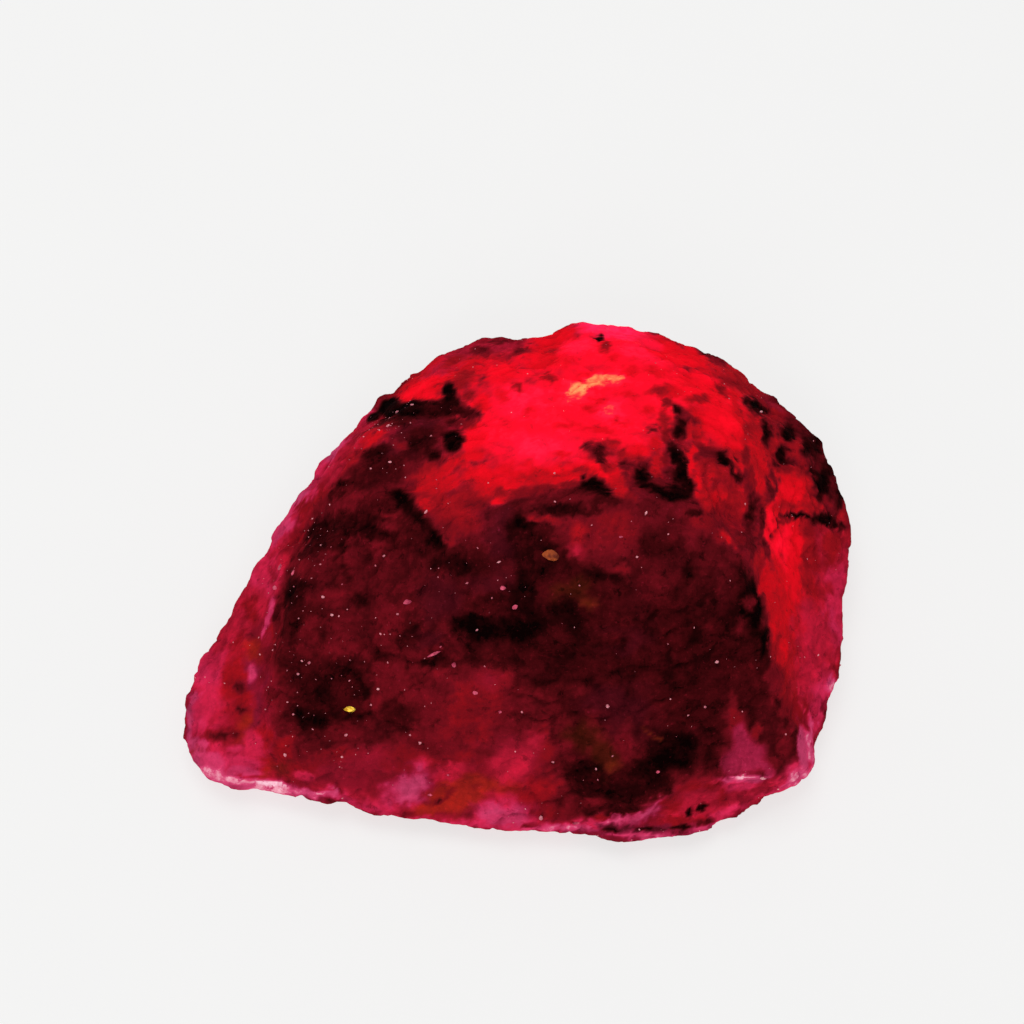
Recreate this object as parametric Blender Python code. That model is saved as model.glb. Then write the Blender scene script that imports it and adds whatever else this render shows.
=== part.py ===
"""Raw ruby crystal: one broken, unpolished lump of ruby that lies on its flat break.

Places below are in millimetres and become metres when the mesh is made. +Z is up, +X runs
along the longest side and -Y is the steep front. The origin is on the surface that the lump
rests on, in the middle of its length and depth.

The lump is drawn the way a broken stone is surveyed: its widest edge seen from above, the
ridges where its breaks meet, and spot heights on the breaks between them. These are joined
into a closed shell, which is remeshed, chipped by a seeded pattern, cut flat below, and
brought to its length, depth and height.
"""

import bmesh
import bpy
from mathutils import Matrix, Vector, noise
from mathutils.geometry import delaunay_2d_cdt

MM = 0.001

# Driving dimensions of the finished lump.
LENGTH = 52.0
DEPTH = 43.5
HEIGHT = 19.5

# The widest edge, seen from above, anticlockwise. A smooth curve runs through its points.
RIM = [
    (26.8, 5.5), (26.0, -1.5), (25.5, -6.0), (23.8, -12.5), (22.0, -17.0),
    (18.7, -18.3), (15.8, -20.9), (11.5, -21.9), (4.2, -21.9), (-6.0, -20.9),
    (-13.8, -19.6), (-20.5, -18.1), (-25.0, -16.6), (-26.8, -12.8), (-25.5, -8.0),
    (-23.8, -4.8), (-20.9, 2.1), (-17.1, 9.0), (-11.9, 15.1), (-6.0, 19.8), (1.5, 21.0),
    (6.0, 22.3), (15.5, 19.7), (23.0, 13.4),
]
RIM_STEPS = 3  # pieces of the curve between two points
RIM_HEIGHT = 4.8  # of the widest edge above the surface, at the middle of the depth
RIM_SLOPE = 0.12  # that edge rises this much for each millimetre towards the back

# Ridges where two breaks meet: lines through (x, y, height).
RIDGES = {
    "crown": [
        (-10.5, 2.0, 14.0), (-6.5, -3.5, 16.0), (-2.0, -3.0, 18.5), (4.0, -3.0, 20.0),
        (8.5, -2.5, 20.0), (12.0, -3.0, 19.0),
    ],
    "right_edge": [
        (12.0, -3.0, 19.0), (15.0, -6.5, 17.0), (17.0, -9.5, 14.5), (18.0, -12.5, 11.5),
        (20.5, -17.0, 6.0),
    ],
    "corner_edge": [
        (12.0, -3.0, 19.0), (13.0, -9.0, 16.0), (14.0, -11.5, 14.0), (15.0, -14.0, 11.0),
    ],
    "corner_facet": [
        (15.0, -14.0, 11.0), (14.5, -18.0, 6.5), (18.5, -18.0, 5.5), (15.0, -14.0, 11.0),
    ],
    "ledge_top": [(6.0, -20.0, 6.0), (10.0, -19.5, 7.0), (14.5, -18.0, 6.5)],
    "ledge_foot": [(6.5, -20.8, 3.5), (11.0, -20.5, 4.0), (15.0, -19.2, 4.0)],
    "left_edge": [
        (-10.5, 2.0, 14.0), (-13.5, -0.5, 12.5), (-16.5, -3.0, 11.0), (-18.0, -7.5, 10.0),
        (-19.0, -12.0, 8.5), (-18.5, -16.0, 7.0), (-16.0, -18.0, 5.5),
    ],
    "lobe_edge": [
        (-19.8, -7.0, 7.5), (-20.5, -12.0, 6.0), (-20.0, -16.0, 4.5), (-17.0, -18.2, 4.0),
    ],
    "left_shoulder": [(-10.5, 2.0, 14.0), (-14.5, 4.5, 11.5), (-11.5, 8.5, 12.0)],
}

# Heights on the breaks between the ridges: (x, y, height).
SPOTS = {
    "front": [
        (-13.0, -7.0, 12.0), (-7.0, -8.5, 14.5), (2.0, -9.5, 16.5), (8.0, -9.5, 16.5),
        (-12.5, -13.0, 9.0), (-5.5, -13.5, 11.0), (2.5, -14.5, 12.0), (9.0, -14.0, 12.0),
        (-13.0, -17.5, 5.5), (-5.5, -18.5, 5.5), (2.0, -19.0, 6.0),
    ],
    "left_lobe": [(-23.5, -10.5, 5.5), (-23.5, -15.0, 4.5)],
    "back": [
        (-5.0, 4.5, 15.5), (2.5, 4.5, 17.0), (9.5, 4.5, 17.0), (15.5, 2.0, 16.0),
        (-7.5, 13.0, 11.5), (-2.0, 13.5, 12.5), (4.5, 14.0, 13.0), (11.0, 13.0, 13.0),
        (16.0, 10.0, 13.0), (20.5, 6.5, 11.0),
    ],
    "right": [(20.0, -0.5, 11.0), (21.0, -5.5, 9.0), (22.0, -9.5, 6.5), (21.5, -13.5, 5.5)],
}

# Rings of the underside: how far inside the widest edge, and share of that edge's height.
UNDERSIDE = [(1.2, 0.55), (3.2, 0.2), (5.6, 0.0)]
FOOT_CUT = 0.4  # taken off the bottom, so that the foot is one true plane

SHELL_VOXEL = 0.6  # grid of the shell before it is chipped
WEAR_PASSES = 1  # smoothing passes that round the surveyed ridges
TRIANGLES = 7000  # of the finished solid

# Chips of the broken faces: dishes that meet in ridges, and small tilted facets.
DISH_WIDTH = 6.5
DISH_DEPTH = 0.45
DISH_PLACE = Vector((3.1, 7.7, 1.3))
FACET_WIDTH = 2.6
FACET_TILT = 0.26
FACET_PLACE = Vector((8.2, 2.4, 5.9))
CELL_SPREAD = 31.7  # so that neighbouring facets draw unlike tilts
BORDER_WIDTH = 0.3  # of a facet's width, over which its tilt fades out
CALM_HEIGHT = 1.6  # the chips fade out below this, so that the foot stays plane
CLEAVAGE_CENTRE = Vector((16.0, -16.5, 7.5))
CLEAVAGE_RADIUS = 3.0  # the corner facet is a clean cleavage, with hardly a chip on it

RUBY_RED = (0.33, 0.012, 0.045, 1.0)
RUBY_ROUGHNESS = 0.42
RUBY_IOR = 1.77


def clear_scene():
    for old in list(bpy.data.objects):
        bpy.data.objects.remove(old, do_unlink=True)


def through(before, start, end, after, share):
    """A point of the smooth curve from start to end, at a share of the way."""
    straight = (end - before) * share
    bend = (2 * before - 5 * start + 4 * end - after) * share**2
    turn = (3 * start - before - 3 * end + after) * share**3
    return start + (straight + bend + turn) / 2


def rim_curve():
    """The widest edge as a closed loop of points with their heights."""
    corners = [Vector(corner) for corner in RIM]
    count = len(corners)
    loop = []
    for i in range(count):
        four = [corners[(i + k) % count] for k in (-1, 0, 1, 2)]
        for step in range(RIM_STEPS):
            x, y = through(*four, step / RIM_STEPS)
            loop.append(Vector((x, y, RIM_HEIGHT + RIM_SLOPE * y)))
    return loop


def underside_ring(rim, inset, height_share):
    """The rim drawn in towards the middle, at a share of its height."""
    ring = []
    for point in rim:
        reach = point.xy.length
        narrowed = point.xy * (reach - inset) / reach
        ring.append(Vector((narrowed.x, narrowed.y, point.z * height_share)))
    return ring


def surveyed_shell():
    """A closed shell through the rim, the ridges, the spot heights and the rings below."""
    rim = rim_curve()
    count = len(rim)
    top = list(rim)
    loop = [(i, (i + 1) % count) for i in range(count)]
    edges = list(loop)
    for ridge in RIDGES.values():
        first = len(top)
        top += [Vector(point) for point in ridge]
        edges += [(i, i + 1) for i in range(first, len(top) - 1)]
    for spots in SPOTS.values():
        top += [Vector(point) for point in spots]

    inside_only = 1
    merge_distance = 0.01
    flat, _, triangles, sources, _, _ = delaunay_2d_cdt(
        [point.xy for point in top], edges, [], inside_only, merge_distance
    )
    shell = bmesh.new()
    verts = [shell.verts.new(top[sources[i][0]]) for i in range(len(flat))]
    for triangle in triangles:
        shell.faces.new([verts[i] for i in triangle])
    upper = [None] * count
    for vert, inputs in zip(verts, sources):
        if inputs[0] < count:
            upper[inputs[0]] = vert
    for inset, height_share in UNDERSIDE:
        ring = underside_ring(rim, inset, height_share)
        lower = [shell.verts.new(point) for point in ring]
        for i, j in loop:
            shell.faces.new((upper[i], lower[i], lower[j], upper[j]))
        upper = lower
    shell.faces.new(upper)
    bmesh.ops.recalc_face_normals(shell, faces=shell.faces)

    mesh = bpy.data.meshes.new("surveyed_shell")
    shell.to_mesh(mesh)
    shell.free()
    return mesh


def with_modifiers(mesh, *settings):
    """A new mesh: the given one after a stack of (modifier type, values)."""
    worked = bpy.data.objects.new("worked", mesh)
    bpy.context.scene.collection.objects.link(worked)
    for kind, values in settings:
        modifier = worked.modifiers.new(kind.title(), kind)
        for name, value in values.items():
            setattr(modifier, name, value)
    graph = bpy.context.evaluated_depsgraph_get()
    result = bpy.data.meshes.new_from_object(worked.evaluated_get(graph))
    bpy.data.objects.remove(worked)
    bpy.data.meshes.remove(mesh)
    return result


def chip_height(place):
    """How far the chips raise or sink the surface at a place."""
    dish = noise.voronoi(place / DISH_WIDTH + DISH_PLACE)[0][0]
    spot = place / FACET_WIDTH + FACET_PLACE
    (nearest, second, _, _), (centre, _, _, _) = noise.voronoi(spot)
    lean = noise.cell_vector(centre * CELL_SPREAD)
    off_border = min((second - nearest) / BORDER_WIDTH, 1.0)
    facet = (spot - centre).dot(lean) * off_border
    return DISH_DEPTH * (2 * dish**2 - 0.5) + FACET_TILT * FACET_WIDTH * facet


def chip_strength(place):
    """1 where the stone is chipped in full, 0 on the foot, and little on the cleavage."""
    above_foot = min(max(place.z / CALM_HEIGHT, 0.0), 1.0)
    off_cleavage = min((place - CLEAVAGE_CENTRE).length / CLEAVAGE_RADIUS, 1.0)
    return above_foot * off_cleavage**2


def chipped(mesh):
    work = bmesh.new()
    work.from_mesh(mesh)
    work.normal_update()
    pushes = [
        vert.normal * chip_strength(vert.co) * chip_height(vert.co) for vert in work.verts
    ]
    for vert, push in zip(work.verts, pushes):
        vert.co += push
    work.to_mesh(mesh)
    work.free()
    return mesh


def settled(mesh):
    """The lump cut flat below, stood on z = 0, centred, and brought to its dimensions."""
    work = bmesh.new()
    work.from_mesh(mesh)
    bmesh.ops.bisect_plane(
        work,
        geom=work.verts[:] + work.edges[:] + work.faces[:],
        plane_co=(0, 0, FOOT_CUT),
        plane_no=(0, 0, -1),
        clear_outer=True,
    )
    cut = [edge for edge in work.edges if edge.is_boundary]
    bmesh.ops.triangle_fill(work, edges=cut, use_beauty=True)
    bmesh.ops.recalc_face_normals(work, faces=work.faces)

    low = Vector(min(vert.co[axis] for vert in work.verts) for axis in range(3))
    high = Vector(max(vert.co[axis] for vert in work.verts) for axis in range(3))
    middle = (low + high) / 2
    size = high - low
    to_size = Matrix.Diagonal((LENGTH / size.x, DEPTH / size.y, HEIGHT / size.z, 1))
    stand = Matrix.Translation((-middle.x, -middle.y, -low.z))
    bmesh.ops.transform(work, verts=work.verts, matrix=Matrix.Scale(MM, 4) @ to_size @ stand)
    work.to_mesh(mesh)
    work.free()
    return mesh


def ruby_material():
    ruby = bpy.data.materials.new("raw_ruby")
    ruby.use_nodes = True
    shader = ruby.node_tree.nodes["Principled BSDF"]
    shader.inputs["Base Color"].default_value = RUBY_RED
    shader.inputs["Roughness"].default_value = RUBY_ROUGHNESS
    shader.inputs["Metallic"].default_value = 0.0
    shader.inputs["IOR"].default_value = RUBY_IOR
    return ruby


def make_ruby_crystal():
    voxels = {"mode": "VOXEL", "voxel_size": SHELL_VOXEL}
    wear = {"factor": 0.5, "iterations": WEAR_PASSES}
    shell = with_modifiers(surveyed_shell(), ("REMESH", voxels), ("SMOOTH", wear))
    fine = chipped(shell)
    fine_triangles = sum(len(face.vertices) - 2 for face in fine.polygons)
    thinning = {"ratio": TRIANGLES / fine_triangles}
    mesh = settled(with_modifiers(fine, ("DECIMATE", thinning)))
    mesh.name = "ruby_crystal"
    mesh.shade_flat()
    mesh.materials.append(ruby_material())
    crystal = bpy.data.objects.new("ruby_crystal", mesh)
    bpy.context.scene.collection.objects.link(crystal)


clear_scene()
make_ruby_crystal()
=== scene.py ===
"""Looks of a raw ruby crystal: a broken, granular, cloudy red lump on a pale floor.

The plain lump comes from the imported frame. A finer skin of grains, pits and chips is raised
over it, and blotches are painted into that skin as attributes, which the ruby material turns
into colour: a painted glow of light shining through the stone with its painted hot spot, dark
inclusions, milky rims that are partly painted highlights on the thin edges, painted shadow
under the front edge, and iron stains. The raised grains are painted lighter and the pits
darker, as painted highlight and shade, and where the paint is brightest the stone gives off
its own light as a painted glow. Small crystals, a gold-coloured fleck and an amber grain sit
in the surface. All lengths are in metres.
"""

import math

import bmesh
import bpy
import numpy as np
from bpy.props import FloatProperty, FloatVectorProperty, PointerProperty
from mathutils import Color, Matrix, Vector, noise
from mathutils.bvhtree import BVHTree


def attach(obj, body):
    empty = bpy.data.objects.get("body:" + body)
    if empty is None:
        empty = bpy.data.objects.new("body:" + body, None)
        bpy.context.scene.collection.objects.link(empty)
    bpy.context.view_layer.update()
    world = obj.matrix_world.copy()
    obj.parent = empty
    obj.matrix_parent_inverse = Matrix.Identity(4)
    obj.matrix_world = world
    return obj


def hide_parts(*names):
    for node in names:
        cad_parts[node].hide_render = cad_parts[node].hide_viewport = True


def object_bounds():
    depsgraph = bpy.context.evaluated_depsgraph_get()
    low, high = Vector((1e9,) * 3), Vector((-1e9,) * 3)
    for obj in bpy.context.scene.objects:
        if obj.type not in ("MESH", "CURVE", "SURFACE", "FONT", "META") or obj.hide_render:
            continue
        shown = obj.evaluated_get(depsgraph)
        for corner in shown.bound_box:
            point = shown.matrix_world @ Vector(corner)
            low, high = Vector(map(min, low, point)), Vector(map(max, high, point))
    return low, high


bl_info = {
    "name": "Raw Ruby Crystal",
    "version": (1, 0, 0),
    "blender": (4, 5, 0),
    "location": "3D View > Sidebar > Ruby",
    "description": "Gives a plain ruby lump its broken skin, colours, glints and stage",
    "category": "Add Mesh",
}

NODE = "ruby_crystal"
BODY = "root"
SKIN_PIECE = "ruby_surface"

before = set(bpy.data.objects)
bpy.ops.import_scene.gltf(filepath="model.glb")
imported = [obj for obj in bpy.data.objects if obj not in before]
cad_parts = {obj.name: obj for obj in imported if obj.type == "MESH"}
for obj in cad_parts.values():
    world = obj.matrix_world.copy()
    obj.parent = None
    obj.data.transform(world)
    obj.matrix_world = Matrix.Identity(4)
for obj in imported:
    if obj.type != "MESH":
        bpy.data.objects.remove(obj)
CAD_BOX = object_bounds()
LENGTH = CAD_BOX[1][0] - CAD_BOX[0][0]
MM = LENGTH / 52.0  # one millimetre of the lump at its own size

# The noise library starts from the clock unless it is given a seed.
NOISE_SEED = 5

# The camera's square frame, in which the places below are given: pixels across and down.
FRAME_WIDTH = 1024
FRAME_MIDDLE = FRAME_WIDTH / 2
SENSOR_WIDTH = 36.0

# Finishes of the stone, and painted light: (how bright a red, how milky, how rusty), each
# from 0 to about 1.
FINISHES_AND_PAINTED_LIGHT = {
    "black": (0.05, 0.0, 0.0),
    "soot": (0.15, 0.0, 0.0),
    "dark": (0.22, 0.0, 0.0),
    "maroon": (0.31, 0.05, 0.0),
    "wine": (0.4, 0.03, 0.0),
    "garnet": (0.5, 0.0, 0.0),
    "blood": (0.6, 0.0, 0.0),
    "red": (0.72, 0.0, 0.0),
    "scarlet": (0.82, 0.0, 0.0),
    # From here to hot: a painted glow of light shining through the stone, ember and hot its painted hot
    # spot.
    "bright": (0.89, 0.0, 0.0),
    "glow": (0.95, 0.03, 0.0),
    "rose": (0.98, 0.1, 0.0),
    "candy": (0.97, 0.32, 0.0),
    "ember": (1.13, 0.0, 0.0),
    "hot": (1.23, 0.0, 0.0),
    "plum": (0.27, 0.3, 0.0),
    "mauve": (0.48, 0.3, 0.0),
    "raspberry": (0.53, 0.14, 0.0),
    "crimson": (0.66, 0.14, 0.0),
    "cerise": (0.7, 0.24, 0.0),
    "blush": (0.6, 0.36, 0.0),
    "pink": (0.72, 0.32, 0.0),
    "fuchsia": (0.72, 0.48, 0.0),
    # These three, orchid to pale, are partly the stone's cloudiness and partly a painted highlight on thin
    # edges.
    "orchid": (0.7, 0.68, 0.0),
    "milky_and_highlight": (0.8, 0.72, 0.0),
    "pale": (0.85, 0.95, 0.0),
    "brick": (0.6, 0.0, 0.3),
    "rust": (0.42, 0.0, 0.75),
    "umber": (0.25, 0.0, 0.5),
    # Grey painted shadow under the stone's front edge.
    "painted_underside_shade": (0.33, 0.5, 0.0),
}

# Blotches by region, each painted in this order: a finish, and where it lies. A place is
# (across, down, half the length, half the width) seen through the camera, and where the
# oval is turned, by how many degrees.
BROAD_FIELDS = [
    ("maroon", [(540, 610, 235, 100), (395, 475, 50, 48, 35), (340, 640, 70, 70)]),
    ("wine", [(440, 725, 175, 75), (620, 540, 60, 34)]),
    ("dark", [(640, 650, 120, 60), (620, 790, 75, 34), (742, 650, 34, 80, 18)]),
    # From here on these fields are a painted glow of light shining through the stone.
    ("red", [(775, 480, 72, 110, 20), (440, 375, 75, 26, 34), (800, 630, 40, 80, 5)]),
    ("glow", [
        (575, 408, 118, 70), (500, 432, 42, 38), (655, 382, 62, 42, -28), (600, 346, 80, 22),
        (720, 395, 34, 30, -35),
    ]),
    ("scarlet", [(500, 480, 62, 16), (728, 418, 26, 24, -30), (560, 476, 44, 10), (690, 358, 36, 9, -28)]),
    ("red", [(432, 482, 24, 20, 10), (492, 492, 30, 10)]),
]
# Painted glow of light shining through the stone's top, with its painted hot spot in the ember marks; the
# darker marks in it are the stone's own spots.
GLOWING_TOP = [
    ("bright", [(545, 356, 24, 14), (700, 388, 34, 18, -35), (590, 470, 40, 9)]),
    ("red", [(540, 480, 28, 6)]),
    ("rose", [
        (520, 400, 26, 18), (540, 448, 34, 18), (612, 409, 16, 11), (575, 345, 20, 9),
        (640, 352, 24, 8, -15), (610, 334, 26, 6, -6),
    ]),
    ("candy", [(606, 328, 38, 7, -10), (650, 339, 24, 5, -20)]),
    ("ember", [(578, 391, 16, 11, 28), (604, 379, 22, 7, 4), (612, 408, 9, 5)]),
    ("scarlet", [
        (598, 401, 9, 3, -20), (590, 409, 6, 4), (550, 362, 10, 6), (628, 395, 10, 4, -10),
        (565, 425, 14, 3), (600, 430, 16, 3, -10), (500, 395, 5, 8), (630, 372, 8, 6),
        (655, 372, 10, 5, -20), (584, 374, 6, 3), (648, 410, 7, 4), (530, 412, 6, 4), (560, 455, 9, 3),
        (612, 358, 6, 4), (566, 362, 5, 7), (622, 422, 10, 3, -15),
    ]),
    ("blood", [
        (546, 377, 10, 3), (517, 386, 5, 4), (666, 391, 14, 6), (699, 399, 11, 4), (605, 347, 4, 6),
        (695, 422, 9, 14), (722, 390, 8, 5, -30), (552, 348, 8, 5),
    ]),
    ("soot", [(599, 339, 4, 3)]),
    ("crimson", [(482, 347, 46, 8, 6), (448, 364, 30, 8, 36), (672, 346, 22, 4, -24)]),
    ("scarlet", [
        (548, 342, 20, 8, 8), (690, 355, 16, 7, -26), (670, 348, 28, 11, -24), (564, 333, 16, 8, 18),
    ]),
    ("wine", [(480, 351, 10, 5), (521, 350, 8, 4), (500, 340, 18, 2, 3)]),
    ("blood", [(462, 378, 12, 10, 32), (470, 396, 7, 5), (452, 362, 12, 5, 30)]),
]
# Dark inclusions within the painted glow; the red and scarlet marks between them are painted glow.
DARK_ISLANDS = [
    ("wine", [
        (680, 420, 9, 20, 4), (598, 451, 11, 8), (673, 452, 7, 12), (652, 429, 7, 3), (644, 467, 11, 6),
        (572, 496, 32, 7), (526, 496, 16, 10), (706, 452, 14, 7),
    ]),
    ("dark", [(600, 452, 6, 5), (601, 461, 6, 4, -30)]),
    ("soot", [
        (679, 431, 5, 9), (673, 454, 5, 8), (593, 487, 14, 8), (562, 506, 20, 4), (540, 516, 16, 5),
        (725, 459, 9, 6, -50), (643, 475, 10, 7), (660, 490, 20, 5, -18),
    ]),
    ("black", [
        (679, 468, 8, 16, -12), (686, 486, 7, 14), (672, 493, 16, 6, -8), (643, 477, 8, 7, -30),
        (652, 487, 14, 4, -20), (603, 496, 7, 8), (592, 482, 9, 6),
    ]),
    ("red", [(656, 464, 7, 13, 5), (619, 482, 9, 16)]),
    ("scarlet", [(692, 464, 5, 18, -8), (676, 392, 8, 5)]),
    ("blood", [(608, 466, 7, 5), (630, 456, 12, 4, -20), (697, 436, 5, 12), (610, 443, 7, 4)]),
    ("garnet", [(528, 494, 16, 4), (628, 498, 12, 5), (704, 447, 8, 3, -20)]),
    ("scarlet", [(495, 499, 10, 4)]),
    ("wine", [(655, 481, 9, 4), (694, 510, 12, 10), (626, 474, 4, 8)]),
    ("maroon", [(606, 504, 20, 7), (650, 508, 18, 7), (668, 526, 20, 12), (574, 516, 12, 6)]),
    ("red", [(576, 474, 16, 4), (619, 494, 6, 8)]),
    ("blood", [(664, 420, 4, 12, 4), (585, 470, 10, 4)]),
]
UPPER_LEFT = [
    # The bright marks here are painted glow of light shining through the stone.
    ("bright", [
        (420, 388, 30, 7, 24), (500, 372, 20, 12, 20), (482, 404, 6, 10), (476, 438, 10, 12),
        (428, 397, 14, 3),
    ]),
    ("plum", [(412, 428, 34, 11), (400, 450, 34, 10)]),
    ("maroon", [(425, 458, 14, 6), (374, 474, 24, 12), (470, 416, 10, 5, -8)]),
    ("red", [(466, 456, 14, 5, 20), (446, 466, 18, 6, 20), (424, 478, 14, 7, 10)]),
    ("dark", [
        (385, 466, 26, 13, 8), (348, 487, 26, 8, 8), (372, 512, 26, 12), (438, 412, 18, 8),
        (418, 444, 18, 9), (330, 532, 40, 12, 8), (392, 420, 20, 6), (345, 492, 14, 6, 20),
        (400, 542, 22, 7), (352, 522, 24, 8), (470, 558, 44, 14),
    ]),
    ("wine", [
        (412, 468, 12, 9), (352, 502, 15, 8), (395, 528, 16, 9), (438, 430, 7, 6), (388, 548, 26, 6),
        (335, 548, 16, 5),
    ]),
    ("red", [(372, 438, 22, 9, 28), (352, 452, 14, 8, 40)]),
    ("garnet", [(398, 445, 10, 5), (340, 468, 18, 8, 50)]),
    ("blood", [(430, 466, 12, 6, 20)]),
    ("soot", [
        (420, 440, 10, 6), (382, 452, 8, 5), (434, 455, 8, 5, -35), (326, 525, 26, 4, 8),
        (354, 529, 24, 6, -5), (312, 541, 14, 7, 20), (374, 532, 20, 6, -8), (370, 452, 12, 5, 10),
        (452, 564, 26, 8), (338, 484, 10, 5, 20),
    ]),
    ("black", [(404, 502, 9, 12, 50), (421, 519, 15, 8, -50), (435, 538, 14, 6, -50)]),
    ("blood", [(452, 516, 20, 12), (465, 502, 40, 8)]),
    ("dark", [(412, 530, 18, 9, -30), (340, 544, 20, 4)]),
    ("garnet", [
        (468, 526, 14, 8, 20), (478, 505, 16, 5), (503, 490, 12, 4), (386, 512, 12, 6), (448, 536, 6, 10),
    ]),
    ("dark", [(385, 507, 12, 5), (402, 545, 12, 5), (428, 553, 7, 6)]),
    ("soot", [(330, 545, 15, 4)]),
    ("red", [(426, 505, 7, 7, -40)]),
]
# The pink, fuchsia and orchid rim along this edge is partly the stone's cloudiness and partly a painted
# highlight on its thin edge.
LEFT_EDGE = [
    ("crimson", [(308, 497, 98, 13, 56), (364, 426, 18, 9, 40)]),
    ("garnet", [(318, 500, 28, 7, 52), (292, 548, 24, 8, 62)]),
    ("wine", [(318, 506, 12, 5, 50), (294, 551, 10, 6, 60), (340, 492, 10, 6)]),
    ("crimson", [(276, 574, 24, 9, 68), (334, 474, 14, 7, 50)]),
    ("pink", [(303, 492, 98, 7, 56), (368, 414, 12, 6, 35)]),
    ("fuchsia", [(337, 450, 16, 7, 50), (295, 500, 20, 8, 42), (284, 525, 16, 8, 58)]),
    ("orchid", [(299, 497, 12, 4, 42), (334, 452, 10, 4, 50)]),
    ("garnet", [(305, 505, 12, 5, 46)]),
    ("dark", [(338, 494, 10, 4, 10)]),
]
LEFT_LOBE = [
    ("crimson", [(224, 690, 46, 74, 8), (250, 600, 24, 42, 30)]),
    ("pink", [(204, 668, 14, 30, 20), (197, 712, 12, 28), (262, 575, 14, 30, 22)]),
    ("cerise", [(208, 700, 10, 18), (222, 660, 14, 10, 30)]),
    ("blood", [(238, 686, 14, 42, -4)]),
    ("brick", [(247, 722, 12, 18, -20), (255, 650, 8, 9), (263, 768, 9, 9)]),
    ("garnet", [(220, 735, 22, 7, 8), (238, 686, 7, 6), (240, 707, 7, 5)]),
    ("maroon", [(222, 735, 13, 4, 6), (238, 686, 5, 4), (240, 707, 5, 3)]),
    # Orchid along the lobe's outer edge: partly a painted highlight.
    ("orchid", [(186, 712, 6, 26, 4), (190, 742, 6, 8)]),
    ("crimson", [(228, 620, 14, 16, 30)]),
    ("garnet", [(250, 612, 5, 14, 25), (233, 640, 12, 4, 30)]),
    ("rust", [(200, 750, 8, 2.5, 15)]),
    ("cerise", [(232, 762, 22, 10), (256, 746, 10, 14), (214, 750, 8, 8)]),
    ("pink", [(200, 762, 12, 8, -30), (250, 770, 10, 4)]),
    # A pale strip along the bottom rim: partly a painted highlight on its thin edge.
    ("orchid", [
        (200, 766, 14, 10, -40), (216, 778, 22, 9, -10), (262, 789, 44, 9, -9), (306, 796, 22, 4, -10),
    ]),
    ("umber", [(288, 769, 13, 8, -20)]),
    ("blood", [(262, 765, 9, 7), (290, 740, 8, 8)]),
    ("cerise", [(255, 746, 9, 12)]),
    ("wine", [(281, 676, 8, 24, 2), (269, 654, 8, 14, 10), (276, 714, 7, 14)]),
    ("mauve", [(252, 673, 7, 12), (258, 704, 8, 28, -4)]),
    ("raspberry", [(268, 626, 7, 24, -8), (266, 718, 6, 24), (267, 572, 8, 10, 20)]),
    ("garnet", [(273, 626, 4, 22, -8)]),
]
DARK_BREAK = [
    ("soot", [
        (294, 600, 10, 18), (302, 588, 11, 8), (318, 632, 8, 7), (316, 704, 22, 22), (345, 576, 5, 12, 20),
        (360, 600, 8, 6), (345, 714, 22, 5), (362, 696, 8, 5), (378, 657, 8, 5), (286, 636, 8, 14),
    ]),
    ("dark", [
        (328, 690, 36, 38), (300, 614, 20, 12), (378, 654, 16, 8, 20), (400, 718, 16, 13),
        (354, 690, 16, 14), (410, 630, 9, 14), (318, 732, 24, 7), (292, 664, 14, 16), (335, 592, 14, 6),
    ]),
    ("soot", [(312, 715, 16, 14), (328, 690, 9, 8), (293, 600, 9, 18)]),
    ("garnet", [(318, 774, 34, 14, -15), (280, 748, 10, 12), (342, 752, 26, 14)]),
    ("raspberry", [(312, 778, 24, 9, -12), (354, 782, 34, 16, -14)]),
    ("maroon", [(318, 742, 22, 7), (368, 742, 20, 8)]),
    ("blood", [(262, 736, 8, 12), (284, 752, 10, 8)]),
    ("black", [(306, 718, 10, 10), (322, 700, 7, 7), (412, 633, 6, 10)]),
    ("wine", [
        (330, 600, 16, 9), (390, 618, 16, 12, 30), (350, 650, 24, 8), (308, 628, 8, 12), (300, 650, 8, 6),
        (340, 560, 14, 7), (302, 568, 10, 9), (336, 734, 16, 6), (281, 606, 4, 12),
    ]),
    ("plum", [(440, 600, 20, 22), (425, 640, 20, 8)]),
    ("maroon", [(284, 642, 5, 12)]),
    ("garnet", [(300, 772, 14, 7, -15)]),
    ("dark", [(322, 706, 9, 9)]),
]
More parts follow.
